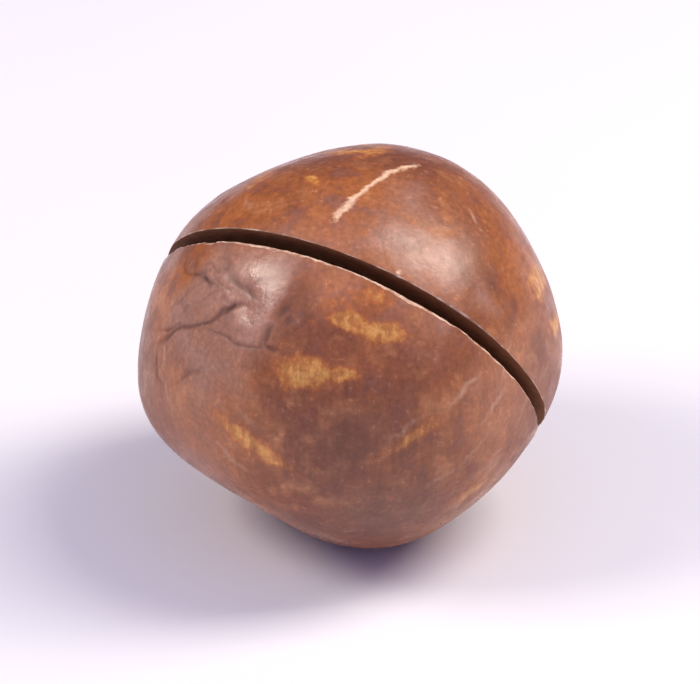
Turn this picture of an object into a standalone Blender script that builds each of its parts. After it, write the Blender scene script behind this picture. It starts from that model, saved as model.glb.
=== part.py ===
"""A macadamia nut in its shell, sawn part of the way round so that a flat key can crack it open.

The shell is one hard, near-round body with a hollow inside, and the slot goes right through its wall.
The dried kernel lies loose in the hollow.

Metres, +Z up. The nut stands on a small flat spot at the origin, and -Y is its front. A direction from
the middle of the nut is an azimuth, 0 towards -Y and 90 towards +X, and an elevation above the
horizontal, both in degrees.
"""

import math

import bmesh
import bpy
from mathutils import Vector, noise

MM = 0.001

# The shell
SHELL_RADIUS = 11.95 * MM
WALL = 2.9 * MM
FOOT_FLAT = 0.2 * MM  # how much the spot that it stands on is worn flat

# Where the shell swells or is flattened: direction, height and the angle that it spreads over
SWELLS = (
    ((-82, -14), 0.80 * MM, 20),  # left shoulder
    ((87, -5), 0.60 * MM, 20),  # right shoulder
    ((125, 45), 0.35 * MM, 32),  # back of the crown
    ((25, -58), 0.30 * MM, 18),  # blunt tip, low at the front
    ((-50, -48), -0.95 * MM, 24),  # flat flank beside the tip
    ((-147, 54), -0.70 * MM, 26),  # flattened crown
)

# Soft lumps all over
LUMP_SIZE = 5.5 * MM
LUMP_HEIGHT = 0.07 * MM

# The hilum, where the nut hung in its husk: a shallow dimple, with creases that run out of it
HILUM = (-40, 36)
HILUM_DEPTH = 0.16 * MM
HILUM_SPREAD = 9
CREASE_DEPTH = 0.13 * MM
CREASE_WIDTH = 0.36 * MM
CREASE_TAPER = 4  # degrees over which a crease runs out at its ends
CREASES = (
    ((-36, 37), (-53, 25), (-69, 12), (-67, 1)),
    ((-54, 25), (-41, 26), (-25, 27)),
    ((-51, 41), (-36, 39)),
    ((-23, 39), (-29, 27)),
    ((-57, 5), (-45, 16)),
)

# The micropyle, a small pit opposite the hilum
MICROPYLE = (140, -36)
MICROPYLE_DEPTH = 0.22 * MM
MICROPYLE_SPREAD = 4

# The saw slot lies in one plane, which passes near the middle of the nut
SLOT_WIDTH = 1.0 * MM
SLOT_NORMAL = (152, 33.2)
SLOT_MIDDLE = (10.8, 45.7)
SLOT_OFFSET = 0.05 * MM  # how far the plane lies from the middle, along its normal
SLOT_BREAKTHROUGH = 0.15 * MM  # how far the saw went past the wall's inner face
SLOT_HALF_ANGLE = 72  # full depth on each side of its middle, before the saw leaves the shell
SAW_RADIUS = 20 * MM
SAW_CLEARANCE = 1.2 * MM  # the saw ends this far outside the shell, past its highest swell

# The kernel lies on the floor of the hollow, and all gaps round it are at least 0.3 mm
KERNEL_RADIUS = 8.4 * MM
KERNEL_DROP = 0.25 * MM  # its middle is this far below the middle of the shell
KERNEL_POINT = 0.2 * MM  # it comes to a low point towards the micropyle
KERNEL_POINT_SPREAD = 16
SEAM_DEPTH = 0.18 * MM  # the line where its two halves meet
SEAM_SPREAD = 3.5
SEAM_NORMAL = (52, 10)

# Fineness
OUTSIDE_CUTS = 3
INSIDE_CUTS = 1
KERNEL_CUTS = 2
CREASE_MARGINS = (5, 3.5, 2.4)  # the mesh is halved within each of these angles of a crease
SLOT_STEP = 4
SMOOTH_ANGLE = 35


def direction(azimuth, elevation):
    """The unit vector of an azimuth and an elevation in degrees."""
    turn = math.radians(azimuth)
    rise = math.radians(elevation)
    return Vector((math.sin(turn) * math.cos(rise), -math.cos(turn) * math.cos(rise), math.sin(rise)))


def fade(angle, spread):
    """1 at angle 0, falling smoothly to nothing past the spread. Both are in the same unit."""
    return math.exp(-((angle / spread) ** 2))


def degrees_between(a, b):
    return math.degrees(a.angle(b, 0.0))


def angle_to_arc(point, start, end):
    """The angle in radians from a direction to the nearest place on the arc between two others."""
    pole = start.cross(end).normalized()
    foot = (point - pole * point.dot(pole)).normalized()
    inside = start.cross(foot).dot(pole) > 0 and foot.cross(end).dot(pole) > 0
    if inside:
        return point.angle(foot, 0.0)
    return min(point.angle(start, 0.0), point.angle(end, 0.0))


SWELL_ROWS = [(direction(*place), height, spread) for place, height, spread in SWELLS]
HILUM_WAY = direction(*HILUM)
MICROPYLE_WAY = direction(*MICROPYLE)
CREASE_LINES = [[direction(*place) for place in line] for line in CREASES]


def crease_angle(way, line):
    """The angle in radians from a direction to the nearest place on a crease."""
    return min(angle_to_arc(way, start, end) for start, end in zip(line, line[1:]))


def crease_depth(way, line):
    """How deep a crease is pressed in at a direction."""
    depth = CREASE_DEPTH * fade(crease_angle(way, line) * SHELL_RADIUS, CREASE_WIDTH)
    for end in (line[0], line[-1]):
        depth *= 1 - fade(degrees_between(way, end), CREASE_TAPER)
    return depth


def shell_radius(way):
    """The distance from the middle of the nut to its outer surface."""
    radius = SHELL_RADIUS
    for centre, height, spread in SWELL_ROWS:
        radius += height * fade(degrees_between(way, centre), spread)
    radius += LUMP_HEIGHT * noise.noise(way * (SHELL_RADIUS / LUMP_SIZE))
    radius -= HILUM_DEPTH * fade(degrees_between(way, HILUM_WAY), HILUM_SPREAD)
    radius -= MICROPYLE_DEPTH * fade(degrees_between(way, MICROPYLE_WAY), MICROPYLE_SPREAD)
    return radius - max(crease_depth(way, line) for line in CREASE_LINES)


def kernel_radius(way):
    """The distance from the middle of the kernel to its surface."""
    off_seam = abs(90 - degrees_between(way, direction(*SEAM_NORMAL)))
    point = KERNEL_POINT * fade(degrees_between(way, MICROPYLE_WAY), KERNEL_POINT_SPREAD)
    return KERNEL_RADIUS + point - SEAM_DEPTH * fade(off_seam, SEAM_SPREAD)


def geodesic(cuts):
    """A unit sphere of even triangles."""
    ball = bmesh.new()
    bmesh.ops.create_icosphere(ball, subdivisions=3, radius=1)
    bmesh.ops.subdivide_edges(ball, edges=ball.edges[:], cuts=cuts, use_grid_fill=True)
    bmesh.ops.triangulate(ball, faces=ball.faces[:])
    return ball


def refine_creases(ball, margin):
    """Halves the edges within an angle of the creases, so that they show."""
    reach = math.radians(margin)
    fine = {
        vert
        for vert in ball.verts
        if min(crease_angle(vert.co.normalized(), line) for line in CREASE_LINES) < reach
    }
    near = [edge for edge in ball.edges if all(vert in fine for vert in edge.verts)]
    bmesh.ops.subdivide_edges(ball, edges=near, cuts=1, use_grid_fill=True)
    bmesh.ops.triangulate(ball, faces=ball.faces[:])


def shape_ball(ball, radius_at):
    """Moves each corner of a unit sphere to the radius that its direction has."""
    for vert in ball.verts:
        way = vert.co.normalized()
        vert.co = way * radius_at(way)


def flatten_foot(ball, depth):
    """Cuts off the lowest part and closes the cut with one flat face."""
    floor = min(vert.co.z for vert in ball.verts) + depth
    bmesh.ops.bisect_plane(
        ball,
        geom=ball.verts[:] + ball.edges[:] + ball.faces[:],
        plane_co=(0, 0, floor),
        plane_no=(0, 0, 1),
        clear_inner=True,
    )
    rim = [edge for edge in ball.edges if edge.is_boundary]
    bmesh.ops.contextual_create(ball, geom=rim)


def make_object(name, ball, middle, smooth=True):
    """Turns a bmesh round the origin into an object whose middle is at a given place."""
    bmesh.ops.translate(ball, verts=ball.verts[:], vec=middle)
    bmesh.ops.recalc_face_normals(ball, faces=ball.faces[:])
    mesh = bpy.data.meshes.new(name)
    ball.to_mesh(mesh)
    ball.free()
    if smooth:
        mesh.shade_smooth()
        mesh.set_sharp_from_angle(angle=math.radians(SMOOTH_ANGLE))
    made = bpy.data.objects.new(name, mesh)
    bpy.context.scene.collection.objects.link(made)
    return made


def make_material(name, colour, roughness):
    material = bpy.data.materials.new(name)
    material.use_nodes = True
    shader = material.node_tree.nodes["Principled BSDF"]
    shader.inputs["Base Color"].default_value = (*colour, 1)
    shader.inputs["Roughness"].default_value = roughness
    shader.inputs["Metallic"].default_value = 0
    return material


def cut(target, cutter):
    """Takes one object's shape out of another and hides the cutter."""
    modifier = target.modifiers.new(cutter.name, "BOOLEAN")
    modifier.operation = "DIFFERENCE"
    modifier.solver = "EXACT"
    modifier.object = cutter
    cutter.hide_render = True
    cutter.display_type = "WIRE"


def slot_floor(angle, full_depth):
    """The slot floor's distance from the slot's middle: level, then rising with the saw's own curve."""
    past = math.radians(abs(angle) - SLOT_HALF_ANGLE)
    if past <= 0:
        return full_depth
    saw_centre = full_depth + SAW_RADIUS
    return saw_centre * math.cos(past) - math.sqrt(SAW_RADIUS**2 - (saw_centre * math.sin(past)) ** 2)


def slot_cutter(nut_middle):
    """The body that the saw took away: a thin part of a ring, one saw kerf thick."""
    normal = direction(*SLOT_NORMAL)
    middle = direction(*SLOT_MIDDLE)
    middle = (middle - normal * middle.dot(normal)).normalized()
    side = normal.cross(middle)
    centre = normal * SLOT_OFFSET
    hollow_here = math.sqrt((SHELL_RADIUS - WALL) ** 2 - SLOT_OFFSET**2)
    full_depth = hollow_here - SLOT_BREAKTHROUGH
    last = SLOT_HALF_ANGLE
    while slot_floor(last, full_depth) < SHELL_RADIUS + SAW_CLEARANCE:
        last += SLOT_STEP
    outer = slot_floor(last, full_depth) + MM
    angles = range(-last, last + 1, SLOT_STEP)

    ring = bmesh.new()
    rows = []
    for angle in angles:
        turn = math.radians(angle)
        out = middle * math.cos(turn) + side * math.sin(turn)
        inner = slot_floor(angle, full_depth)
        corners = []
        for reach, half in ((inner, -1), (outer, -1), (outer, 1), (inner, 1)):
            corners.append(ring.verts.new(centre + out * reach + normal * (half * SLOT_WIDTH / 2)))
        rows.append(corners)
    for here, there in zip(rows, rows[1:]):
        for k in range(4):
            ring.faces.new((here[k], here[(k + 1) % 4], there[(k + 1) % 4], there[k]))
    ring.faces.new(rows[0])
    ring.faces.new(rows[-1])
    return make_object("saw_cut", ring, nut_middle, smooth=False)


def shape_outside():
    """The solid nut round the origin, with its foot."""
    outside = geodesic(OUTSIDE_CUTS)
    for margin in CREASE_MARGINS:
        refine_creases(outside, margin)
    shape_ball(outside, shell_radius)
    flatten_foot(outside, FOOT_FLAT)
    return outside


def place_of_middle(ball):
    """Where the middle of the nut goes, so that the middle of its underside is at the origin."""
    low, high = [Vector(pick(vert.co[k] for vert in ball.verts) for k in range(3)) for pick in (min, max)]
    return Vector((-(low.x + high.x) / 2, -(low.y + high.y) / 2, -low.z))


def make_shell(outside, nut_middle):
    """The whole shell: its outside, less the hollow in it and the slot through its wall."""
    shell = make_object("shell", outside, nut_middle)
    shell.data.materials.append(make_material("brown_shell", (0.235, 0.085, 0.04), 0.38))

    hollow = geodesic(INSIDE_CUTS)
    shape_ball(hollow, lambda way: SHELL_RADIUS - WALL)
    cut(shell, make_object("hollow", hollow, nut_middle))
    cut(shell, slot_cutter(nut_middle))


def make_kernel(kernel_middle):
    ball = geodesic(KERNEL_CUTS)
    shape_ball(ball, kernel_radius)
    kernel = make_object("kernel", ball, kernel_middle)
    kernel.data.materials.append(make_material("cream_kernel", (0.62, 0.43, 0.24), 0.55))


def main():
    for old in list(bpy.data.objects):
        bpy.data.objects.remove(old)

    outside = shape_outside()
    nut_middle = place_of_middle(outside)
    make_shell(outside, nut_middle)
    make_kernel(nut_middle - Vector((0, 0, KERNEL_DROP)))


main()
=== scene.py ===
"""The finished look of a sawn macadamia nut in its shell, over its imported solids, on a plain pale stage.

Metres, +Z up. The nut stands on a small flat spot at the origin, and -Y is its front. A direction from
the middle of the nut is an azimuth, 0 towards -Y and 90 towards +X, and an elevation above the
horizontal, both in degrees.
"""

import math
import random

import bmesh
import bpy
import numpy as np
from bpy.props import FloatProperty, FloatVectorProperty, PointerProperty
from mathutils import Matrix, Vector, noise


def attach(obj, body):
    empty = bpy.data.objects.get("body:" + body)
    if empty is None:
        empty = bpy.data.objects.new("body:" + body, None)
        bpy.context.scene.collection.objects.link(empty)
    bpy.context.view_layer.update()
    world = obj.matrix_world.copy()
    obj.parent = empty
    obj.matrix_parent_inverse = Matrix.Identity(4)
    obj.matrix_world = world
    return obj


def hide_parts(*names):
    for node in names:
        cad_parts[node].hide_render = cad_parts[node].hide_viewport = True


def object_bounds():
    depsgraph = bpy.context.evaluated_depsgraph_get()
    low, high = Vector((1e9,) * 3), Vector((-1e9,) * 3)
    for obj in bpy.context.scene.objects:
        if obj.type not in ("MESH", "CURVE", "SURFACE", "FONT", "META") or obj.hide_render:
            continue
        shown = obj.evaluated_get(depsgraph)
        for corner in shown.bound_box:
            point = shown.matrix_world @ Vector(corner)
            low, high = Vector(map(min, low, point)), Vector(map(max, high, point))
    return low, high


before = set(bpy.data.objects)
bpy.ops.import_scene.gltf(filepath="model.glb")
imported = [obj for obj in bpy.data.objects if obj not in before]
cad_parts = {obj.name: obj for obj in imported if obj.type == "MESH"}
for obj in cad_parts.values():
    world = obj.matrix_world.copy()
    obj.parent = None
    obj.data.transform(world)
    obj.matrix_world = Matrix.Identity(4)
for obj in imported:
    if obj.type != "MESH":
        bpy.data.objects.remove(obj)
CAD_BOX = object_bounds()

bl_info = {
    "name": "Macadamia nut in shell",
    "version": (1, 0, 0),
    "blender": (4, 5, 0),
    "location": "3D View > Sidebar > Macadamia",
    "description": "Models a sawn macadamia nut in its shell and a plain stage for it",
    "category": "Object",
}

MM = 0.001

# Vector noise starts from the clock unless it has a seed other than 0
NOISE_SEED = 1


def linear(hex_colour):
    """The linear red, green, blue and alpha of an sRGB hex colour."""
    values = [int(hex_colour[k : k + 2], 16) / 255 for k in (1, 3, 5)]
    return (*[v / 12.92 if v <= 0.04045 else ((v + 0.055) / 1.055) ** 2.4 for v in values], 1.0)


def per_metre(size_mm):
    """The scale of a noise pattern whose features are this many millimetres across."""
    return 1000 / size_mm


# The shape of the shell, from the same values as its solid

SHELL_RADIUS = 11.95 * MM
FOOT_FLAT = 0.2 * MM
SWELLS = (
    ((-82, -14), 0.80 * MM, 20),  # left shoulder
    ((87, -5), 0.60 * MM, 20),  # right shoulder
    ((125, 45), 0.35 * MM, 32),  # back of the crown
    ((25, -58), 0.30 * MM, 18),  # blunt tip, low at the front
    ((-50, -48), -0.95 * MM, 24),  # flat flank beside the tip
    ((-147, 54), -0.70 * MM, 26),  # flattened crown
)
LUMP_SIZE = 5.5 * MM
LUMP_HEIGHT = 0.07 * MM
HILUM = (-40, 36)
HILUM_DEPTH = 0.16 * MM
HILUM_SPREAD = 9
MICROPYLE = (140, -36)
MICROPYLE_DEPTH = 0.22 * MM
MICROPYLE_SPREAD = 4

# The saw slot
SLOT_NORMAL = (152, 33.2)
SLOT_MIDDLE = (10.8, 45.7)
SLOT_OFFSET = 0.05 * MM
SLOT_BREAKTHROUGH = 0.15 * MM
SLOT_HALF_ANGLE = 72
SLOT_END_ANGLE = 108
SAW_RADIUS = 20 * MM

# The saw cut's profile has corners on four levels, told apart by their radius until they are shaped
PROFILE_LEVELS = (8 * MM, 10 * MM, 12 * MM, 14 * MM)
STEPS_PER_DEGREE = 3
CUT_MARGIN = 3 * MM  # how far the cut reaches past the shell's radius
LIP_MARGIN = 0.3 * MM  # how far its lips flare on above the skin
LIP_SLOPE = 1.15  # how much wider a lip grows for its depth
LEAST_NECK = 0.02 * MM
SLIVER = 0.002 * MM  # edges shorter than this, which carving leaves, are closed up

# How deep the skin is chipped at the slot's upper lip, 1, and at its lower lip, -1
USUAL_CHIP = {1: 0.03 * MM, -1: 0.09 * MM}
LEAST_CHIP = 0.012 * MM

# Where the lips are chipped most: the lip, the angle along the slot from its middle, the spread of that
# angle and the depth of the chip
LIP_CHIPS = (
    (1, 3.8, 0.8, 0.12 * MM),
    (1, 22, 9, 0.06 * MM),
    (-1, -28, 17, 0.14 * MM),
    (-1, 9, 11, 0.13 * MM),
    (-1, -60, 8, 0.08 * MM),
    (-1, 39, 8, 0.08 * MM),
)

# The wrinkled skin round the hilum, and where in it the fine wrinkles are: place and spread in degrees
HILUM_PATCH = ((-47, 30), 22)
WRINKLED = ((-54, 36), 15)
WRINKLE_SIZE = 1.5 * MM
WRINKLE_DEPTH = 0.018 * MM

# Creases that run out of the hilum, each with its depth and width in mm and how dark the painted shade in
# it is
CREASES = (
    (
        (
            *((-36, 37), (-40, 36), (-43, 34), (-46, 32), (-50, 28)),
            *((-53, 26), (-59, 23), (-64, 19), (-68, 13), (-71, 10)),
        ),
        *(0.08, 0.17, 1.0),
    ),
    (((-53, 26), (-48, 26), (-41, 26), (-33, 26), (-28, 27), (-24, 28)), 0.03, 0.15, 0.7),
    (((-58, 24), (-64, 21), (-68, 17), (-73, 13)), 0.05, 0.15, 0.7),
    (((-55, 42), (-50, 41.5), (-45, 41), (-40, 40), (-35, 39.6), (-32, 38.6)), 0.02, 0.24, 0.85),
    (((-70, 12), (-69, 8), (-67, 3), (-62, 2)), 0.05, 0.16, 0.6),
    (((-58, 4), (-54, 9), (-51, 12), (-46, 16)), 0.05, 0.18, 0.6),
    (((-78, 38), (-76, 34), (-71, 34), (-65, 36), (-57, 37), (-51, 38)), 0.035, 0.14, 0.6),
    (((-68, 39), (-64, 41), (-58, 40), (-52, 43)), 0.03, 0.13, 0.5),
    (((-62, 39.5), (-55, 38.7), (-50, 38.4), (-47, 38.6), (-44, 40.4)), 0.02, 0.14, 0.5),
    (((-53, 39), (-49, 36), (-47, 35), (-43, 33.5)), 0.012, 0.16, 0.45),
    (((-55, 27), (-56, 32), (-53, 36), (-48, 40)), 0.025, 0.14, 0.35),
    (((-72, 22), (-66, 27), (-63, 34)), 0.025, 0.14, 0.35),
)

# Knobs between the creases: place, height and radius in mm
KNOBS = (
    ((-69.8, 37.8), 0.05, 0.42),
    ((-52.8, 39.8), 0.035, 0.36),
    ((-60, 38.2), 0.03, 0.34),
    ((-47.5, 36), 0.012, 0.40),
    ((-38, 30.5), 0.05, 0.75),
)

# The pale scar beside the hilum ends towards the front at a low step, which runs down from the slot
SCAR_EDGE = (
    *((-21, 56), (-23, 49), (-23, 46), (-24, 42), (-26, 39)),
    *((-27, 35), (-28, 31), (-29, 27), (-33, 22)),
)
SCAR_MIDDLE = (-38, 41)
SCAR_SPREAD = 15
SCAR_HEIGHT = 0.05 * MM
SCAR_TROUGH = 0.09 * MM  # how far the skin sinks in front of the step
TROUGH_FRONT = (0.1 * MM, -1.3 * MM)
TROUGH_END = (-4 * MM, -1.3 * MM)
# The spots below are dents of this depth along the scar's step, darkened in the skin's colour as painted
# shadow of the step
SPOT_DEPTH = 0.015 * MM
SCAR_SPOTS = (
    ((-23.6, 38.5), 0.80, 0.26, 66, 0.9),
    ((-21.0, 36.0), 0.42, 0.22, 70, 0.7),
    ((-27.2, 30.5), 0.70, 0.20, 76, 0.9),
    ((-25.5, 27.4), 0.70, 0.17, -6, 0.9),
)

# Golden flecks in the skin: place, half length and half width in mm, tilt of their length, strength
FLECKS = (
    ((-1.5, 37.4), 0.82, 0.46, -8, 1.0),
    ((9.5, 34.0), 1.50, 0.52, -12, 0.95),
    ((-14.5, 22.0), 1.38, 0.80, 3, 1.0),
    ((-3.5, 22.4), 1.15, 0.38, -4, 0.85),
    ((-29, -1.5), 1.95, 0.60, -24, 0.62),
    ((-22, -5), 0.90, 0.50, -12, 0.62),
    ((17.5, 2.5), 1.60, 0.36, 26, 0.55),
    ((10, 43), 1.30, 0.34, -22, 0.4),
    ((42, -25), 1.30, 0.70, 30, 0.5),
    ((150, 75), 0.50, 1.50, 0, 0.5),
)

# Pale streaks and dark scuffs, given in the same way
PALE_STREAKS = (
    ((35, 13), 2.0, 0.17, 33, 0.9),
    ((44.5, 4.5), 1.7, 0.15, 45, 0.9),
    ((52, 15), 1.9, 0.16, 52, 0.7),
    ((38, -7), 1.6, 0.14, 40, 0.7),
    ((58, -2), 1.9, 0.17, 62, 0.7),
    ((46, -20), 1.5, 0.22, 36, 0.8),
    ((27, -14), 1.3, 0.13, 25, 0.6),
    ((17, 6), 1.5, 0.13, 28, 0.7),
    ((-60, 0), 1.6, 0.15, -62, 0.7),
    ((-66, 9), 1.4, 0.14, -70, 0.7),
    ((-36, -9), 1.9, 0.17, -34, 0.7),
    ((-30, 6), 1.5, 0.14, -28, 0.5),
)
DARK_SCUFFS = (
    ((-12, -33), 1.0, 0.13, -8, 0.8),
    ((2, -37), 1.3, 0.13, 5, 0.8),
    ((14, -32), 0.9, 0.11, 15, 0.8),
    ((-24, -28), 0.9, 0.12, -20, 0.7),
    ((24, -30), 1.0, 0.12, 20, 0.8),
    ((-4, -26), 0.7, 0.10, 0, 0.7),
    ((10, -22), 0.6, 0.09, 12, 0.6),
    ((-31, -20), 0.8, 0.11, -25, 0.6),
    ((34, -18), 0.7, 0.10, 30, 0.6),
    ((57, 22), 1.1, 0.10, 55, 0.5),
    ((-73, 26), 1.0, 0.10, -75, 0.5),
)

# Broad tints of the skin as soft patches: place, spread in degrees and strength
GOLDEN_PATCHES = (
    ((-91, 55), 26, 0.62),
    ((-80, 20), 12, 0.9),
    ((-71, 27), 8, 0.9),
    ((80, 6), 11, 0.6),
    ((42, -25), 9, 0.6),
    ((82, 30), 20, 0.65),
    ((10, 42), 7, 0.5),
    ((-9, 45), 7, 0.7),
    ((10, 84), 16, 0.5),
    ((-20, 62), 12, 0.4),
)
# Pink skin, and painted sheen over the right highlight and on the lower flanks
ROSY_AND_SHEEN_PATCHES = (
    ((-50, -8), 18, 0.55),
    ((50, 8), 17, 0.7),
    ((37, 14), 5, 0.8),
    ((40, 51), 16, 0.8),
    ((24, 33), 10, 0.45),
    ((31, 37), 7, 0.8),
)
# A pale waxy bloom, and painted highlight: most of these patches lie where the lamps' highlights fall, on
# the right of the crown and round the hilum, and one is painted sheen on the lower left flank
BLOOM_AND_HIGHLIGHT_PATCHES = (
    ((22, 62), 6, 0.8),
    ((55, 70), 9, 0.4),
    ((-15, 60), 12, 0.3),
    ((-6, 51), 9, 0.3),
    ((20, 40), 8, 0.2),
    ((30, 52), 5, 0.7),
    ((41, 49), 7, 1.0),
    ((36, 58), 5, 0.7),
    ((52, 34), 5, 0.5),
    ((33, 36), 6, 0.5),
    ((-54, -22), 12, 0.6),
    ((-58, 34), 8, 0.6),
    ((-60, 43), 7, 0.8),
    ((-37, 31), 6, 0.8),
    ((-47, 10), 9, 0.4),
)
# Dark purple-grey mottles, and painted shade at the bottom of the front, at both limbs and at the back of
# the crown
DUSKY_AND_SHADE_PATCHES = (
    ((8, -27), 20, 0.9),
    ((2, 4), 15, 0.55),
    ((-12, 24), 10, 0.35),
    ((45, 45), 3.6, 0.6),
    ((30, 58), 4.0, 0.6),
    ((24, 61), 2.8, 0.5),
    ((56, 40), 3.8, 0.6),
    ((60, 48), 5.0, 0.4),
    ((60, 27), 4.5, 0.6),
    ((-16, 40), 4, 0.35),
    ((-45, 66), 6, 0.4),
    ((71, 10), 8, 0.65),
    ((175, 74), 26, 0.75),
    ((-95, 36), 12, 0.45),
    ((-86, 6), 14, 0.42),
    ((85, 14), 15, 0.6),
    ((104, 24), 14, 0.4),
    ((-99, 55), 10, 0.3),
    ((88, 42), 7, 0.25),
)

# A pale scratch over the crown, and the bruise on the slot's upper lip
SCRATCH = ((-13, 65.4), (-6.6, 70.2), (7, 75.7), (38, 79.3), (79, 79), (109, 68))
SCRATCH_WIDTH = 0.17 * MM
BRUISE = ((20.4, 49.2), 0.24, 0.13, -26, 0.9)
SCRATCH_HEIGHT = 0.04 * MM
FLECK_HEIGHT = 0.012 * MM

# Small lumps of the skin: size, height and pattern
SKIN_LUMPS = ((3.1 * MM, 0.035 * MM, 9), (1.7 * MM, 0.020 * MM, 7), (0.7 * MM, 0.008 * MM, 8))

# How marks wander: the size of their bends, how far these reach and, where it is fixed, their pattern
CREASE_BENDS = (1.3 * MM, 0.22 * MM, 1)
WRINKLE_BENDS = (1.5 * MM, 0.5 * MM, 2)
FLECK_BENDS = (0.9 * MM, 0.26 * MM, 5)
SCRATCH_BENDS = (0.6 * MM, 0.16 * MM, 6)
SCAR_BENDS = (1.2 * MM, 0.25 * MM, 12)
SPOT_BENDS = (0.5 * MM, 0.16 * MM, 13)
STREAK_BENDS = (1.1 * MM, 0.3 * MM)
PATCH_BENDS = (3.5 * MM, 1.3 * MM)
NOISE_SHIFT = Vector((3.1, 7.7, 5.3))  # from one pattern of noise to the next

# Where the photographed side is, in degrees, and how many more ovals and patches the other sides get
SEEN_AZIMUTHS = (-70, 75)
SEEN_ELEVATIONS = (-30, 75)
MORE_OVALS = 36
MORE_PATCHES = 14

# The skin's mesh is halved within these reaches of the hilum, the scratch and the creases
FINE_PLACE = ((-50, 28), 23)
SCRATCH_MARGIN = 0.7 * MM
CREASE_MARGIN = 0.55 * MM


def direction(azimuth, elevation):
    """The unit vector of an azimuth and an elevation in degrees."""
    turn = math.radians(azimuth)
    rise = math.radians(elevation)
    return np.array((math.sin(turn) * math.cos(rise), -math.cos(turn) * math.cos(rise), math.sin(rise)))


def fade(distance, spread):
    """1 at no distance, falling smoothly to nothing past the spread."""
    return np.exp(-((distance / spread) ** 2))


def smooth_step(value, low, high):
    """0 below low, 1 above high and a smooth rise between them."""
    t = np.clip((value - low) / (high - low), 0, 1)
    return t * t * (3 - 2 * t)


def degrees_from(ways, place):
    """The angle between each direction and a place, in degrees."""
    return np.degrees(np.arccos(np.clip(ways @ direction(*place), -1, 1)))


def noise_over(ways, size, seed=0):
    """Smooth noise from about -1 to 1 over the shell, with lumps of a size in metres."""
    shift = NOISE_SHIFT * seed
    return np.array([noise.noise(Vector(way) * (SHELL_RADIUS / size) + shift) for way in ways])


def wander(ways, size, reach, seed):
    """The directions pushed about by smooth noise, so that what is drawn on them wanders."""
    shift = NOISE_SHIFT * seed
    pushes = [noise.noise_vector(Vector(way) * (SHELL_RADIUS / size) + shift) for way in ways]
    pushed = ways + np.array(pushes) * (reach / SHELL_RADIUS)
    return pushed / np.linalg.norm(pushed, axis=1)[:, None]


def distance_to_line(ways, places):
    """How far each direction is over the shell, in metres, from a line through places."""
    nearest = np.full(len(ways), math.pi)
    for start, end in zip(places, places[1:]):
        a, b = direction(*start), direction(*end)
        pole = np.cross(a, b)
        pole /= np.linalg.norm(pole)
        inside = (ways @ np.cross(pole, a) > 0) & (ways @ np.cross(b, pole) > 0)
        beside = np.abs(np.arcsin(np.clip(ways @ pole, -1, 1)))
        to_end = np.arccos(np.clip(np.maximum(ways @ a, ways @ b), -1, 1))
        nearest = np.minimum(nearest, np.where(inside, beside, to_end))
    return nearest * SHELL_RADIUS


def line_mark(ways, places, width, taper=3.5):
    """1 along a line through places, fading at its sides and towards its two ends."""
    mark = fade(distance_to_line(ways, places), width)
    for end in (places[0], places[-1]):
        mark *= 1 - 0.9 * fade(degrees_from(ways, end), taper)
    return mark


def shell_radius(ways):
    """The distance from the middle of the nut to its outer surface, without its finest marks."""
    radius = np.full(len(ways), SHELL_RADIUS)
    for place, height, spread in SWELLS:
        radius += height * fade(degrees_from(ways, place), spread)
    radius += LUMP_HEIGHT * noise_over(ways, LUMP_SIZE)
    radius -= HILUM_DEPTH * fade(degrees_from(ways, HILUM), HILUM_SPREAD)
    return radius - MICROPYLE_DEPTH * fade(degrees_from(ways, MICROPYLE), MICROPYLE_SPREAD)


def hilum_patch(ways):
    """1 in the wrinkled patch round the hilum, 0 away from it."""
    place, spread = HILUM_PATCH
    patch = fade(degrees_from(ways, place), spread)
    return smooth_step(patch + 0.25 * noise_over(ways, 3 * MM, 4), 0.3, 0.75)


def scar_reach(ways):
    """How far each direction lies inside the scar's front edge, in metres. It is negative outside."""
    bent = wander(ways, *SCAR_BENDS)
    azimuths = np.degrees(np.arctan2(bent[:, 0], -bent[:, 1]))
    elevations = np.degrees(np.arcsin(np.clip(bent[:, 2], -1, 1)))
    rising = SCAR_EDGE[::-1]
    edge = np.interp(elevations, [place[1] for place in rising], [place[0] for place in rising])
    return np.radians(edge - azimuths) * np.cos(np.radians(elevations)) * SHELL_RADIUS


def scar_field(ways):
    """1 on the pale scar, falling at once at its front edge and slowly on its other sides."""
    inside = smooth_step(scar_reach(ways), -0.08 * MM, 0.22 * MM)
    return inside * fade(degrees_from(ways, SCAR_MIDDLE), SCAR_SPREAD)


def crease_fields(ways):
    """The depth of the creases at each direction in metres, and how dark the painted shade in them is."""
    bent = wander(ways, *CREASE_BENDS)
    depths = np.zeros(len(ways))
    hollow_shade = np.zeros(len(ways))
    for places, depth, width, darkness in CREASES:
        mark = line_mark(bent, places, width * MM)
        depths = np.maximum(depths, mark * depth * MM)
        hollow_shade = np.maximum(hollow_shade, mark * darkness)
    return depths, hollow_shade


def wrinkle_marks(ways):
    """1 along a net of finer wrinkles, which lies in the hilum's patch."""
    place, spread = WRINKLED
    net = np.abs(noise_over(wander(ways, *WRINKLE_BENDS), WRINKLE_SIZE, 3))
    broken = smooth_step(noise_over(ways, 1.4 * MM, 14), -0.12, 0.3)
    return fade(net, 0.10) * broken * fade(degrees_from(ways, place), spread)


def all_ovals(measured, seed, slimmest, widest, steepest):
    """The measured ovals, and others by rule on the sides that they leave bare."""
    draw = random.Random(seed)
    ovals = list(measured)
    while len(ovals) < len(measured) + MORE_OVALS:
        azimuth = draw.uniform(-180, 180)
        elevation = math.degrees(math.asin(draw.uniform(-0.95, 0.98)))
        seen = SEEN_AZIMUTHS[0] < azimuth < SEEN_AZIMUTHS[1]
        if seen and SEEN_ELEVATIONS[0] < elevation < SEEN_ELEVATIONS[1]:
            continue
        length = draw.uniform(0.6, 2.0)
        width = length * draw.uniform(slimmest, widest)
        tilt = draw.uniform(-steepest, steepest)
        ovals.append(((azimuth, elevation), length, width, tilt, draw.uniform(0.35, 0.95)))
    return ovals


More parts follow.
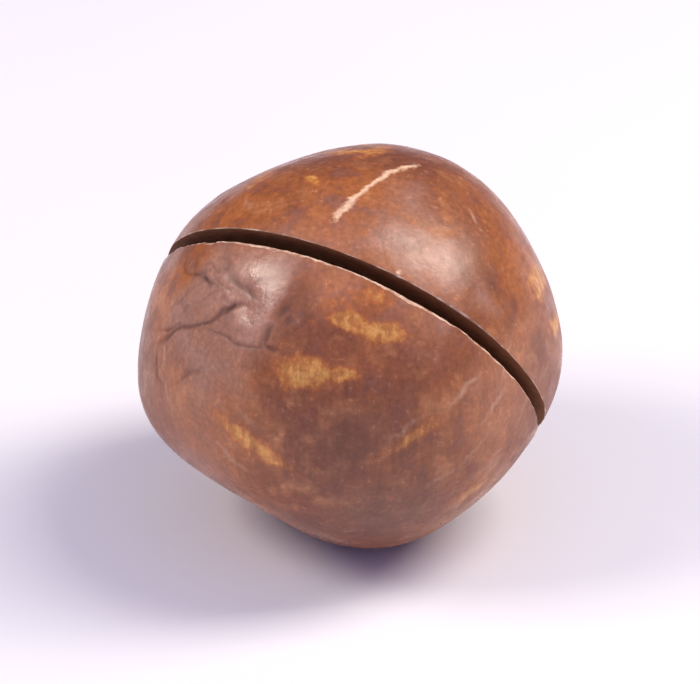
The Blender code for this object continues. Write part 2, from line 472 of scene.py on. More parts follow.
def oval_field(ways, bent, ovals):
    """How far inside an oval each direction is: 1 in its middle, 0 at its edge and -1 well outside.

    The ovals are drawn on the bent directions, so that their edges wander.
    """
    field = np.full(len(ways), -1.0)
    for place, length, width, tilt, strength in ovals:
        middle = direction(*place)
        east = np.cross((0, 0, 1), middle)
        east /= np.linalg.norm(east)
        north = np.cross(middle, east)
        turn = math.radians(tilt)
        along = east * math.cos(turn) + north * math.sin(turn)
        across = north * math.cos(turn) - east * math.sin(turn)
        inside = 1 - np.hypot(bent @ along / length, bent @ across / width) * SHELL_RADIUS / MM
        inside = np.where(ways @ middle > 0, inside, -1)
        field = np.maximum(field, np.clip(inside, -1, 1) * strength - (1 - strength) * 0.4)
    return field


def fleck_field(ways):
    """How far inside a golden fleck each direction is, from -1 to 1."""
    return oval_field(ways, wander(ways, *FLECK_BENDS), all_ovals(FLECKS, 11, 0.25, 0.5, 20))


def streak_field(ways, measured, seed):
    """1 in the middle of each thin streak, fading to nothing at its edge."""
    bent = wander(ways, *STREAK_BENDS, seed)
    return smooth_step(oval_field(ways, bent, all_ovals(measured, seed, 0.07, 0.12, 60)), -0.3, 0.8)


def patch_field(ways, measured, seed):
    """How strongly each direction lies in one of some soft patches, with more by rule at the back."""
    draw = random.Random(seed)
    patches = list(measured)
    while len(patches) < len(measured) + MORE_PATCHES:
        azimuth = draw.uniform(95, 265)
        elevation = math.degrees(math.asin(draw.uniform(-0.95, 0.85)))
        patches.append(((azimuth, elevation), draw.uniform(5, 18), draw.uniform(0.4, 0.9)))
    bent = wander(ways, *PATCH_BENDS, seed)
    field = np.zeros(len(ways))
    for place, spread, strength in patches:
        field = np.maximum(field, strength * fade(degrees_from(bent, place), spread))
    return field


def scratch_mark(ways):
    """1 along the ragged scratch over the crown, which is widest in its middle, and in the bruise."""
    bent = wander(ways, *SCRATCH_BENDS)
    swell = 1 + 0.8 * fade(degrees_from(ways, SCRATCH[1]), 7)
    line = line_mark(bent, SCRATCH, SCRATCH_WIDTH * swell, 2.5)
    return np.maximum(line, smooth_step(oval_field(ways, bent, [BRUISE]), -0.2, 0.5))


def spot_marks(ways):
    """1 in the small dark spots along the scar's edge: dents, which the skin's colour darkens as painted
    shadow of the scar's step.
    """
    return smooth_step(oval_field(ways, wander(ways, *SPOT_BENDS), SCAR_SPOTS), -0.45, 0.6)


def skin_relief(ways):
    """What the fine marks add to the shell's radius."""
    relief = np.zeros(len(ways))
    for size, height, pattern in SKIN_LUMPS:
        relief += height * noise_over(ways, size, pattern)
    relief -= crease_fields(ways)[0]
    relief -= WRINKLE_DEPTH * wrinkle_marks(ways)
    for place, height, radius in KNOBS:
        relief += height * MM * fade(np.radians(degrees_from(ways, place)) * SHELL_RADIUS, radius * MM)
    relief -= SPOT_DEPTH * spot_marks(ways)
    relief += SCAR_HEIGHT * scar_field(ways)
    reach = scar_reach(ways)
    beside = fade(degrees_from(ways, SCAR_MIDDLE), SCAR_SPREAD + 6)
    relief -= SCAR_TROUGH * beside * smooth_step(reach, *TROUGH_FRONT) * smooth_step(reach, *TROUGH_END)
    relief += FLECK_HEIGHT * smooth_step(fleck_field(ways), -0.2, 0.3)
    return relief + SCRATCH_HEIGHT * scratch_mark(ways)


# Building the meshes


def corner_positions(mesh):
    """The corners of a mesh as rows of a numpy array."""
    values = np.empty(len(mesh.vertices) * 3)
    mesh.vertices.foreach_get("co", values)
    return values.reshape(-1, 3)


def unit_rows(rows):
    """Each row scaled to a length of 1."""
    return rows / np.linalg.norm(rows, axis=1)[:, None]


def bmesh_ways(ball):
    """The direction of each of a bmesh's corners from the origin."""
    return unit_rows(np.array([vert.co[:] for vert in ball.verts]))


def refine(ball, near):
    """Halves every edge whose two ends are both marked as near."""
    ball.verts.index_update()
    edges = [edge for edge in ball.edges if near[edge.verts[0].index] and near[edge.verts[1].index]]
    bmesh.ops.subdivide_edges(ball, edges=edges, cuts=1, use_grid_fill=True)
    bmesh.ops.triangulate(ball, faces=ball.faces[:])


def shell_outside():
    """The skin of the solid nut round the origin, finest at the hilum and its creases."""
    ball = bmesh.new()
    bmesh.ops.create_icosphere(ball, subdivisions=7, radius=1)
    ways = bmesh_ways(ball)
    place, spread = FINE_PLACE
    refine(ball, (degrees_from(ways, place) < spread) | (distance_to_line(ways, SCRATCH) < SCRATCH_MARGIN))
    ways = bmesh_ways(ball)
    refine(ball, np.min([distance_to_line(ways, crease[0]) for crease in CREASES], axis=0) < CREASE_MARGIN)
    ways = bmesh_ways(ball)
    radii = shell_radius(ways) + skin_relief(ways)
    for vert, way, radius in zip(ball.verts, ways, radii):
        vert.co = way * radius
    floor = min(vert.co.z for vert in ball.verts) + FOOT_FLAT
    bmesh.ops.bisect_plane(
        ball,
        geom=ball.verts[:] + ball.edges[:] + ball.faces[:],
        plane_co=(0, 0, floor),
        plane_no=(0, 0, 1),
        clear_inner=True,
    )
    bmesh.ops.contextual_create(ball, geom=[edge for edge in ball.edges if edge.is_boundary])
    return ball


def place_of_middle(ball):
    """Where the middle of the nut goes, so that the middle of its underside is at the origin."""
    low, high = [Vector(end(vert.co[k] for vert in ball.verts) for k in range(3)) for end in (min, max)]
    return Vector((-(low.x + high.x) / 2, -(low.y + high.y) / 2, -low.z))


def make_object(name, ball, middle, material):
    """Turns a bmesh round the origin into an object whose mesh lies round a given place."""
    bmesh.ops.translate(ball, verts=ball.verts[:], vec=middle)
    bmesh.ops.recalc_face_normals(ball, faces=ball.faces[:])
    mesh = bpy.data.meshes.new(name)
    ball.to_mesh(mesh)
    ball.free()
    mesh.materials.append(material)
    made = bpy.data.objects.new(name, mesh)
    bpy.context.scene.collection.objects.link(made)
    return made


def slot_floor(angle, full_depth):
    """The slot floor's distance from the slot's middle: level, then rising with the saw's own curve."""
    past = math.radians(max(abs(angle) - SLOT_HALF_ANGLE, 0))
    if not past:
        return full_depth
    saw_centre = full_depth + SAW_RADIUS
    return saw_centre * math.cos(past) - math.sqrt(SAW_RADIUS**2 - (saw_centre * math.sin(past)) ** 2)


def chip(angle, side):
    """How deep the skin is broken away at an angle along a lip of the slot."""
    place = Vector((angle * 0.17, side * 9.0, 4.0))
    ragged = noise.noise(place) + 0.5 * noise.noise(place * 2.3) + 0.25 * noise.noise(place * 4.9)
    depth = USUAL_CHIP[side] * (1 + 1.1 * ragged)
    for lip, middle, spread, extra in LIP_CHIPS:
        if lip == side:
            depth += extra * fade(angle - middle, spread) * (1 + 0.6 * ragged)
    return max(depth, LEAST_CHIP)


def saw_cutter(middle_of_nut, half_width, hollow, material):
    """What the saw took away: a thin part of a ring, flared where it breaks the skin at each lip."""
    normal = Vector(direction(*SLOT_NORMAL))
    middle = Vector(direction(*SLOT_MIDDLE))
    middle = (middle - normal * middle.dot(normal)).normalized()
    side_way = normal.cross(middle)
    centre = normal * SLOT_OFFSET
    full_depth = math.sqrt(hollow**2 - SLOT_OFFSET**2) - SLOT_BREAKTHROUGH
    outer = SHELL_RADIUS + CUT_MARGIN

    first = math.radians(-SLOT_END_ANGLE)
    start = middle * math.cos(first) + side_way * math.sin(first)
    ring = bmesh.new()
    for side in (-1, 1):
        order = PROFILE_LEVELS if side > 0 else PROFILE_LEVELS[::-1]
        for level in order:
            ring.verts.new(centre + start * level + normal * (side * half_width))
    corners = ring.verts[:]
    for here, there in zip(corners, corners[1:] + corners[:1]):
        ring.edges.new((here, there))
    bmesh.ops.spin(
        ring,
        geom=ring.verts[:] + ring.edges[:],
        cent=centre,
        axis=normal,
        dvec=(0, 0, 0),
        angle=math.radians(2 * SLOT_END_ANGLE),
        steps=2 * SLOT_END_ANGLE * STEPS_PER_DEGREE,
        use_duplicate=False,
    )

    verts = ring.verts[:]
    rows = np.array([vert.co[:] for vert in verts]) - np.array(centre)
    heights = rows @ np.array(normal)
    flat = rows - np.outer(heights, np.array(normal))
    reach = np.linalg.norm(flat, axis=1)
    outs = flat / reach[:, None]
    angles = np.degrees(np.arctan2(outs @ np.array(side_way), outs @ np.array(middle)))
    offsets = np.sign(heights) * half_width
    lips = outs * SHELL_RADIUS + np.outer(offsets, np.array(normal)) + np.array(centre)
    skin = shell_radius(unit_rows(lips))
    surface = np.sqrt(skin**2 - (SLOT_OFFSET + offsets) ** 2)
    for k, vert in enumerate(verts):
        side = math.copysign(1, heights[k])
        level = min(range(4), key=lambda step: abs(reach[k] - PROFILE_LEVELS[step]))
        broken = chip(angles[k], side)
        floor = slot_floor(angles[k], full_depth)
        neck = max(surface[k] - broken, floor + LEAST_NECK)
        lip = max(surface[k], neck) + LIP_MARGIN
        flared = half_width + LIP_SLOPE * (broken + LIP_MARGIN)
        new_reach = (floor, neck, lip, max(outer, lip + LIP_MARGIN))[level]
        new_half = (half_width, half_width, flared, flared)[level]
        vert.co = centre + Vector(outs[k]) * new_reach + normal * (side * new_half)
    bmesh.ops.holes_fill(ring, edges=[edge for edge in ring.edges if edge.is_boundary])
    bmesh.ops.triangulate(ring, faces=ring.faces[:])  # flat faces, so that carving is the same each run
    return make_object("saw_cut", ring, middle_of_nut, material)


def mark_chips(saw, middle, material):
    """Gives the flared faces of the saw's cutter, which break the skin, a material of their own."""
    saw.data.materials.append(material)
    normal = Vector(direction(*SLOT_NORMAL))
    for face in saw.data.polygons:
        out = face.center - middle - normal * SLOT_OFFSET
        flared = 0.2 < abs(face.normal.dot(normal)) < 0.95 and out.length > SHELL_RADIUS * 0.9
        face.material_index = int(flared)


def carve(piece, cutters):
    """Takes the cutters out of a piece for good. The new faces keep the cutters' materials."""
    for cutter in cutters:
        modifier = piece.modifiers.new(cutter.name, "BOOLEAN")
        modifier.operation = "DIFFERENCE"
        modifier.solver = "EXACT"
        modifier.material_mode = "TRANSFER"
        modifier.object = cutter
    depsgraph = bpy.context.evaluated_depsgraph_get()
    carved = bpy.data.meshes.new_from_object(piece.evaluated_get(depsgraph))
    whole = piece.data
    piece.modifiers.clear()
    piece.data = carved
    carved.name = piece.name
    bpy.data.meshes.remove(whole)
    for cutter in cutters:
        bpy.data.meshes.remove(cutter.data)


def finish_carved(mesh):
    """Clears the slivers that carving leaves, and shades the mesh smooth but sharp where materials meet."""
    mesh.shade_smooth()
    ball = bmesh.new()
    ball.from_mesh(mesh)
    for _ in range(2):
        bmesh.ops.dissolve_degenerate(ball, dist=SLIVER, edges=ball.edges[:])
        bmesh.ops.triangulate(ball, faces=ball.faces[:])
    for edge in ball.edges:
        indices = {face.material_index for face in edge.link_faces}
        edge.smooth = len(indices) < 2
    ball.to_mesh(mesh)
    ball.free()


def write_skin_marks(mesh, middle):
    """Writes the fields that the shell's materials draw from."""
    ways = unit_rows(corner_positions(mesh) - np.array(middle))
    # Darker at the micropyle's pit, and painted shadow in the spots below the scar's step
    dark_spot = 0.6 * fade(degrees_from(ways, MICROPYLE), MICROPYLE_SPREAD * 0.6)
    fields = {
        "golden": patch_field(ways, GOLDEN_PATCHES, 21),
        "rosy_and_sheen": patch_field(ways, ROSY_AND_SHEEN_PATCHES, 22),
        "dusky_and_shade": patch_field(ways, DUSKY_AND_SHADE_PATCHES, 23),
        "bloom_and_highlight": patch_field(ways, BLOOM_AND_HIGHLIGHT_PATCHES, 24),
        "streak": streak_field(ways, PALE_STREAKS, 25),
        "scuff": streak_field(ways, DARK_SCUFFS, 26),
        "hilum": hilum_patch(ways),
        "scar": scar_field(ways),
        "crease": crease_fields(ways)[1],
        "wrinkle": wrinkle_marks(ways),
        "fleck": fleck_field(ways),
        "scratch": scratch_mark(ways),
        "dark_spot": np.maximum(dark_spot, spot_marks(ways)),
        "micropyle_side": ways @ direction(*MICROPYLE),
    }
    for name, values in fields.items():
        layer = mesh.attributes.new(name, "FLOAT", "POINT")
        layer.data.foreach_set("value", np.ascontiguousarray(values, dtype=np.float32))


# Materials

MIX, MATH, RANGE = "ShaderNodeMix", "ShaderNodeMath", "ShaderNodeMapRange"
NOISE, BUMP = "ShaderNodeTexNoise", "ShaderNodeBump"

# The colour sockets of a Mix node have the same names as its other sockets, so they go by number
MIX_SHARE, MIX_UNDER, MIX_OVER, MIX_RESULT = 0, 6, 7, 2


def put(tree, kind, values=None, links=None, **settings):
    """Adds a node, sets its own settings and its sockets' values, and links its sockets."""
    node = tree.nodes.new(kind)
    for name, value in settings.items():
        setattr(node, name, value)
    for socket, value in (values or {}).items():
        node.inputs[socket].default_value = value
    for socket, source in (links or {}).items():
        tree.links.new(source, node.inputs[socket])
    return node


def new_material(name):
    """An empty material with its Principled shader."""
    material = bpy.data.materials.new(name)
    material.use_nodes = True
    tree = material.node_tree
    return material, tree, tree.nodes["Principled BSDF"]


def polished_shell_skin(look):
    """Macadamia shell, husked and tumbled: hard woody brown skin with a worn, waxy shine."""
    material, tree, shader = new_material("polished_shell_skin")
    place = put(tree, "ShaderNodeTexCoord").outputs["Object"]
    marks = {
        name: put(tree, "ShaderNodeAttribute", attribute_name=name).outputs["Fac"]
        for name in (
            *("golden", "rosy_and_sheen", "bloom_and_highlight", "dusky_and_shade", "hilum", "scar", "streak", "scuff"),
            *("crease", "wrinkle", "fleck", "scratch", "dark_spot"),
        )
    }

    # Noise at the sizes, in millimetres, of what the skin shows
    noises = {}
    for name, size_mm, detail, roughness in (
        ("cloud", 5.0, 3, 0.55),
        ("mottle", 1.5, 4, 0.6),
        ("ragged", 0.7, 4, 0.65),
        ("grain", 0.3, 2, 0.6),
    ):
        values = {"Scale": per_metre(size_mm), "Detail": detail, "Roughness": roughness}
        noises[name] = put(tree, NOISE, values, {"Vector": place}).outputs["Fac"]

    # Fibres, a seventh as thick as they are long, run from the hilum to the micropyle
    combed = put(
        tree,
        "ShaderNodeMapping",
        {"Rotation": (math.radians(52), math.radians(-24), 0), "Scale": (1, 1, 0.14)},
        {"Vector": place},
    )
    values = {"Scale": per_metre(0.42), "Detail": 3, "Roughness": 0.6}
    noises["fibre"] = put(tree, NOISE, values, {"Vector": combed.outputs["Vector"]}).outputs["Fac"]

    # Each colour laid over the skin has a share from 0 to 1: its source, where it starts, where it is full
    # and its most
    shares = {}
    for name, source, start, full, most in (
        ("cloud", noises["cloud"], 0.38, 0.62, 1.0),
        ("mottle", noises["mottle"], 0.50, 0.66, 0.85),
        ("light_mottle", noises["mottle"], 0.47, 0.32, 0.70),
        ("scar", marks["scar"], 0.1, 0.8, 0.65),
        ("streak", marks["streak"], 0.0, 1.0, 0.85),
        ("scuff", marks["scuff"], 0.0, 1.0, 0.8),
        ("heart", marks["fleck"], 0.25, 0.9, 0.4),
    ):
        values = {"From Min": start, "From Max": full, "To Max": most}
        shares[name] = put(tree, RANGE, values, {"Value": source}).outputs["Result"]

    # Broad tints have edges broken up by the mottles, some more than others
    for name, mark, ragged, most in (
        ("golden", "golden", 0.9, 0.9),
        ("rosy_and_sheen", "rosy_and_sheen", 0.7, 0.7),
        ("bloom_and_highlight", "bloom_and_highlight", 0.9, 0.6),
        ("dusky_and_shade", "dusky_and_shade", 0.45, 0.85),
        ("patch", "hilum", 0.6, 0.75),
    ):
        links = {0: noises["mottle"], 2: marks[mark]}
        broken = put(tree, MATH, {1: ragged}, links, operation="MULTIPLY_ADD")
        values = {"From Min": 0.55 * ragged, "From Max": 0.9 + 0.5 * ragged, "To Max": most}
        shares[name] = put(tree, RANGE, values, {"Value": broken.outputs[0]}).outputs["Result"]

    # Flecks have a ragged golden middle and a wider orange halo
    links = {0: noises["fibre"], 2: marks["fleck"]}
    frayed = put(tree, MATH, {1: 0.8}, links, operation="MULTIPLY_ADD")
    links = {0: noises["ragged"], 2: frayed.outputs[0]}
    reach = put(tree, MATH, {1: 1.3}, links, operation="MULTIPLY_ADD").outputs[0]
    for name, start, full, most in (("halo", 0.45, 1.20, 0.75), ("fleck", 0.78, 1.45, 0.95)):
        values = {"From Min": start, "From Max": full, "To Max": most}
        inside = put(tree, RANGE, values, {"Value": reach}, interpolation_type="SMOOTHSTEP")
        shares[name] = inside.outputs["Result"]

    # Darker crumbs show in the flecks
    crumbs = put(tree, MATH, {}, {0: noises["ragged"], 1: noises["fibre"]}, operation="ADD")
    values = {"From Min": 1.12, "From Max": 0.88, "To Max": 0.8}
    crumb = put(tree, RANGE, values, {"Value": crumbs.outputs[0]}).outputs["Result"]
    shares["crumb"] = put(tree, MATH, {}, {0: crumb, 1: shares["fleck"]}, operation="MULTIPLY").outputs[0]

    # The scratch is torn into crumbs
    torn = put(tree, MATH, {1: 1.1}, {0: noises["grain"], 2: marks["scratch"]}, operation="MULTIPLY_ADD")
    values = {"From Min": 0.72, "From Max": 1.45, "To Max": 0.95}
    shares["scratch"] = put(tree, RANGE, values, {"Value": torn.outputs[0]}).outputs["Result"]

    # Painted shade darkens the creases, the wrinkles and the micropyle's pit, and painted shadow darkens
    # the spots below the scar's step
    lines = put(tree, MATH, {1: 0.8}, {0: marks["wrinkle"], 2: marks["crease"]}, operation="MULTIPLY_ADD")
    holes = put(tree, MATH, {}, {0: lines.outputs[0], 1: marks["dark_spot"]}, operation="ADD")
    hollow_shade = put(tree, MATH, {1: 0.7}, {0: holes.outputs[0]}, operation="MULTIPLY", use_clamp=True)
    shares["hollow_shade"] = hollow_shade.outputs[0]

    values = {MIX_UNDER: (*look.deep_brown, 1), MIX_OVER: (*look.warm_brown, 1)}
    skin = put(tree, MIX, values, {MIX_SHARE: shares["cloud"]}, data_type="RGBA").outputs[MIX_RESULT]
    # Some of these colours are partly painted light: sheen in the rosy tint, highlights in the bloom, shade
    # in the dusky tint, and shade in creases and pits
    for name, colour in (
        ("golden", (*look.golden_skin, 1)),
        ("light_mottle", linear("#B97A50")),
        ("mottle", linear("#7D3F28")),
        ("rosy_and_sheen", (*look.rosy_and_sheen_skin, 1)),
        ("bloom_and_highlight", linear("#C69A88")),
        ("dusky_and_shade", (*look.dusky_and_shade_skin, 1)),
        ("streak", linear("#C29478")),
        ("scuff", linear("#5E3A34")),
        ("patch", (*look.hilum_pink, 1)),
        ("scar", linear("#B88672")),
        ("halo", linear("#B4642E")),
        ("fleck", (*look.fleck_gold, 1)),
        ("heart", linear("#E0AA68")),
        ("crumb", linear("#A8622E")),
        ("hollow_shade", (*look.hollow_shade_brown, 1)),
        ("scratch", linear("#EBC2A0")),
    ):
        links = {MIX_SHARE: shares[name], MIX_UNDER: skin}
        skin = put(tree, MIX, {MIX_OVER: colour}, links, data_type="RGBA").outputs[MIX_RESULT]

    # Grain and fibres only lighten and darken the colour
    for name, low, high in (("grain", 0.84, 1.14), ("fibre", 0.90, 1.10)):
        values = {"From Min": 0.3, "From Max": 0.7, "To Min": low, "To Max": high}
        tone = put(tree, RANGE, values, {"Value": noises[name]})
        links = {MIX_UNDER: skin, MIX_OVER: tone.outputs["Result"]}
        toned = put(tree, MIX, {MIX_SHARE: 1.0}, links, data_type="RGBA", blend_type="MULTIPLY")
        skin = toned.outputs[MIX_RESULT]
    tree.links.new(skin, shader.inputs["Base Color"])

    # Worn shine: duller in the mottles and in the creases, and brightest on the scar
    values = {"From Min": 0.38, "From Max": 0.66}
    values |= {"To Min": look.shine_roughness, "To Max": look.dull_roughness}
    shine = put(tree, RANGE, values, {"Value": noises["mottle"]})
    links = {0: hollow_shade.outputs[0], 2: shine.outputs["Result"]}
    dull = put(tree, MATH, {1: 0.3}, links, operation="MULTIPLY_ADD")
    worn = put(tree, MATH, {1: -0.13}, {0: marks["scar"], 2: dull.outputs[0]}, operation="MULTIPLY_ADD")
    tree.links.new(worn.outputs[0], shader.inputs["Roughness"])
    shader.inputs["Specular IOR Level"].default_value = 0.42

    # Relief too fine for the mesh: soft dents, a fine orange peel and the fibres
    normal = None
    for name, height in (("mottle", 0.030 * MM), ("grain", 0.008 * MM), ("fibre", 0.008 * MM)):
        bump = put(tree, BUMP, {"Strength": 1.0, "Distance": height}, {"Height": noises[name]})
        if normal:
            tree.links.new(normal, bump.inputs["Normal"])
        normal = bump.outputs["Normal"]
    tree.links.new(normal, shader.inputs["Normal"])
    return material


def sawn_shell_wall():
    """The shell's wall where the saw went through it: brown stone-cell tissue, rough, and darker than raw
    shell as painted shade inside the narrow slot.
    """
    material, tree, shader = new_material("sawn_shell_wall")
    place = put(tree, "ShaderNodeTexCoord").outputs["Object"]
    soot = put(tree, NOISE, {"Scale": per_metre(0.6), "Detail": 4}, {"Vector": place})
    # Painted shade: the wall's browns are darker than raw shell
    values = {MIX_UNDER: linear("#69391F"), MIX_OVER: linear("#9A6640")}
    colour = put(tree, MIX, values, {MIX_SHARE: soot.outputs["Fac"]}, data_type="RGBA")
    tree.links.new(colour.outputs[MIX_RESULT], shader.inputs["Base Color"])
    shader.inputs["Roughness"].default_value = 0.7
    marks = put(tree, BUMP, {"Distance": 0.03 * MM}, {"Height": soot.outputs["Fac"]})
    tree.links.new(marks.outputs["Normal"], shader.inputs["Normal"])
    return material


def broken_skin_edge(look):
    """Raw shell at the slot's lips, where the skin chipped off: pale tan stone-cell tissue, dry."""
    material, tree, shader = new_material("broken_skin_edge")
    place = put(tree, "ShaderNodeTexCoord").outputs["Object"]
    crumbs = put(tree, NOISE, {"Scale": per_metre(0.8), "Detail": 5}, {"Vector": place})
    tone = put(tree, RANGE, {"From Min": 0.38, "From Max": 0.60}, {"Value": crumbs.outputs["Fac"]})
    values = {MIX_UNDER: linear("#A5755B"), MIX_OVER: (*look.raw_edge, 1)}
    colour = put(tree, MIX, values, {MIX_SHARE: tone.outputs["Result"]}, data_type="RGBA")
    tree.links.new(colour.outputs[MIX_RESULT], shader.inputs["Base Color"])
    shader.inputs["Roughness"].default_value = 0.6
    rough = put(tree, BUMP, {"Distance": 0.04 * MM}, {"Height": crumbs.outputs["Fac"]})
    tree.links.new(rough.outputs["Normal"], shader.inputs["Normal"])
    return material


def glazed_shell_lining():
    """The shell's lining: glossy dark brown, and creamy enamel in the half round the micropyle."""
    material, tree, shader = new_material("glazed_shell_lining")
    side = put(tree, "ShaderNodeAttribute", attribute_name="micropyle_side").outputs["Fac"]
    half = put(tree, RANGE, {"From Min": -0.08, "From Max": 0.08}, {"Value": side})
    values = {MIX_UNDER: linear("#4B2A18"), MIX_OVER: linear("#D9C4A0")}
    colour = put(tree, MIX, values, {MIX_SHARE: half.outputs["Result"]}, data_type="RGBA")
    tree.links.new(colour.outputs[MIX_RESULT], shader.inputs["Base Color"])
    shader.inputs["Roughness"].default_value = 0.25
    return material


def dried_kernel(look):
    """Dried macadamia kernel: oily cream, smooth, dusted brown by the saw."""
    material, tree, shader = new_material("dried_kernel")
    place = put(tree, "ShaderNodeTexCoord").outputs["Object"]
    cloud = put(tree, NOISE, {"Scale": per_metre(3), "Detail": 4}, {"Vector": place})
    values = {MIX_UNDER: linear("#B98F62"), MIX_OVER: (*look.cream, 1)}
    colour = put(tree, MIX, values, {MIX_SHARE: cloud.outputs["Fac"]}, data_type="RGBA")
    tree.links.new(colour.outputs[MIX_RESULT], shader.inputs["Base Color"])
    shader.inputs["Roughness"].default_value = 0.5
    dimples = put(tree, NOISE, {"Scale": per_metre(0.8), "Detail": 3}, {"Vector": place})
    relief = put(tree, BUMP, {"Distance": 0.03 * MM}, {"Height": dimples.outputs["Fac"]})
    tree.links.new(relief.outputs["Normal"], shader.inputs["Normal"])
    return material


def matt_paper_floor():
    """A matt white paper sweep, as under a product photograph."""
    material, tree, shader = new_material("matt_paper_floor")
    place = put(tree, "ShaderNodeTexCoord").outputs["Object"]
    fibre = put(tree, NOISE, {"Scale": per_metre(40), "Detail": 2}, {"Vector": place})
    values = {MIX_UNDER: linear("#EDECF2"), MIX_OVER: linear("#F2F1F6")}
    colour = put(tree, MIX, values, {MIX_SHARE: fibre.outputs["Fac"]}, data_type="RGBA")
    tree.links.new(colour.outputs[MIX_RESULT], shader.inputs["Base Color"])
    shader.inputs["Roughness"].default_value = 0.9
    shader.inputs["Specular IOR Level"].default_value = 0.2
    return material


# The stage: lamps a little warm and a room a little lavender, which make white together

LAMP_WHITE = "#FFF6E8"
ROOM_LAVENDER = "#BEC0FF"
ROOM_BRIGHTEST = (0, -0.6, 0.8)
ROOM_DIM_SHARE = 0.2  # how bright the room is behind the nut, as a share of its brightest
SOFTBOX_DISTANCE = 0.30

# Each softbox: the direction from the nut to it, the direction of its length, and its length and width
RIGHT_SOFTBOX = ((0.62, 0.08, 0.78), (0.56, 0.20, -0.46), (0.22, 0.105))
LEFT_SOFTBOX = ((-0.69, -0.14, 0.71), (0.7, 0.0, 0.7), (0.11, 0.11))

# The camera, in the units that Blender gives a lens
LENS_MM = 310
SENSOR_MM = 36
CLIP = (0.01, 10)


def add_softbox(name, softbox, power, target):
    """A soft light that faces the nut from a direction, with its length along another."""
    way, along, size = softbox
    light = bpy.data.lights.new(name, "AREA")
    light.shape = "RECTANGLE"
    light.size, light.size_y = size
    light.energy = power
    light.color = linear(LAMP_WHITE)[:3]
    lamp = bpy.data.objects.new(name, light)
    way = Vector(way).normalized()
    across = way.cross(Vector(along)).normalized()
    turn = Matrix((across.cross(way), across, way)).transposed()
    lamp.matrix_world = Matrix.Translation(target + way * SOFTBOX_DISTANCE) @ turn.to_4x4()
    bpy.context.scene.collection.objects.link(lamp)


def pale_room(strength):
    """The light of a pale room, which is brightest in front and overhead and dim behind the nut."""
    world = bpy.data.worlds.new("pale_room")
    world.use_nodes = True
    tree = world.node_tree
    shade = tree.nodes["Background"]
    shade.inputs["Color"].default_value = linear(ROOM_LAVENDER)
    way = put(tree, "ShaderNodeTexCoord").outputs["Generated"]
    facing = put(tree, "ShaderNodeVectorMath", {1: ROOM_BRIGHTEST}, {0: way}, operation="DOT_PRODUCT")
    values = {"From Min": 0.0, "From Max": 0.85, "To Min": ROOM_DIM_SHARE * strength, "To Max": strength}
    fall = put(tree, RANGE, values, {"Value": facing.outputs["Value"]})
    tree.links.new(fall.outputs["Result"], shade.inputs["Strength"])
    return world


# Sizes and colours that a user would change


class ShellLook(bpy.types.PropertyGroup):
    """The shell."""

    wall: FloatProperty(
        name="Wall", description="Thickness of the shell's wall",
        default=2.9 * MM, min=1.5 * MM, unit="LENGTH",
    )
    slot_width: FloatProperty(
        name="Slot width", description="Width of the saw's kerf",
        default=0.84 * MM, min=0.4 * MM, unit="LENGTH",
    )
    warm_brown: FloatVectorProperty(
        name="Warm brown", description="Lighter brown of the skin",
        default=linear("#A5643B")[:3], subtype="COLOR",
    )
    deep_brown: FloatVectorProperty(
        name="Deep brown", description="Darker brown of the skin",
        default=linear("#885034")[:3], subtype="COLOR",
    )
    golden_skin: FloatVectorProperty(
        name="Golden tint", description="Skin where it is most orange",
        default=linear("#BD6C2C")[:3], subtype="COLOR",
    )
    # Pink, pale skin, and the painted sheen over the right highlight and on the lower flanks
    rosy_and_sheen_skin: FloatVectorProperty(
        name="Rosy tint", description="Skin where it is pink and pale",
        default=linear("#B27655")[:3], subtype="COLOR",
    )
    # Dark mottles, and the painted shade at the bottom, the limbs and the back of the crown
    dusky_and_shade_skin: FloatVectorProperty(
        name="Dusky tint", description="Skin where it is dark",
        default=linear("#6F4233")[:3], subtype="COLOR",
    )
    hilum_pink: FloatVectorProperty(
        name="Hilum", description="Paler skin round the hilum",
        default=linear("#AA7C66")[:3], subtype="COLOR",
    )
    fleck_gold: FloatVectorProperty(
        name="Flecks", description="Golden flecks in the skin",
        default=linear("#D2954F")[:3], subtype="COLOR",
    )
    # Colour of the painted shade in creases, wrinkles and pits, and of the painted shadow below the scar's
    # step
    hollow_shade_brown: FloatVectorProperty(
        name="Creases", description="Dust in creases and pores",
        default=linear("#5A3226")[:3], subtype="COLOR",
    )
    raw_edge: FloatVectorProperty(
        name="Raw edge", description="Raw shell at the slot's lips",
        default=linear("#E6C4AC")[:3], subtype="COLOR",
    )
    shine_roughness: FloatProperty(
        name="Shine", description="Roughness where the skin is most polished", default=0.26, min=0.05, max=1
    )
    dull_roughness: FloatProperty(
        name="Dull", description="Roughness where the skin is worn dull", default=0.44, min=0.05, max=1
    )


class KernelLook(bpy.types.PropertyGroup):
    """The kernel."""

    cream: FloatVectorProperty(
        name="Cream", description="Colour of the kernel",
        default=linear("#DCC39A")[:3], subtype="COLOR",
    )


class StageLook(bpy.types.PropertyGroup):
    """The floor, the lights and the camera."""

    floor_size: FloatProperty(
        name="Floor", description="Side of the floor", default=3.0, min=0.5, unit="LENGTH"
    )
    camera_distance: FloatProperty(
        name="Camera distance", description="From the nut to the camera",
        default=0.355, min=0.1, unit="LENGTH",
    )
    camera_elevation: FloatProperty(
        name="Camera height angle", description="The camera's angle above the horizontal",
        default=math.radians(31), subtype="ANGLE",
    )
    left_power: FloatProperty(
        name="Left softbox", description="Power of the left light in watts", default=0.47, min=0
    )
    right_power: FloatProperty(
        name="Right softbox", description="Power of the right light in watts", default=0.90, min=0
    )
    sky_strength: FloatProperty(name="Room light", description="Light of the room", default=0.58, min=0)


# One operator for each piece and one for the stage


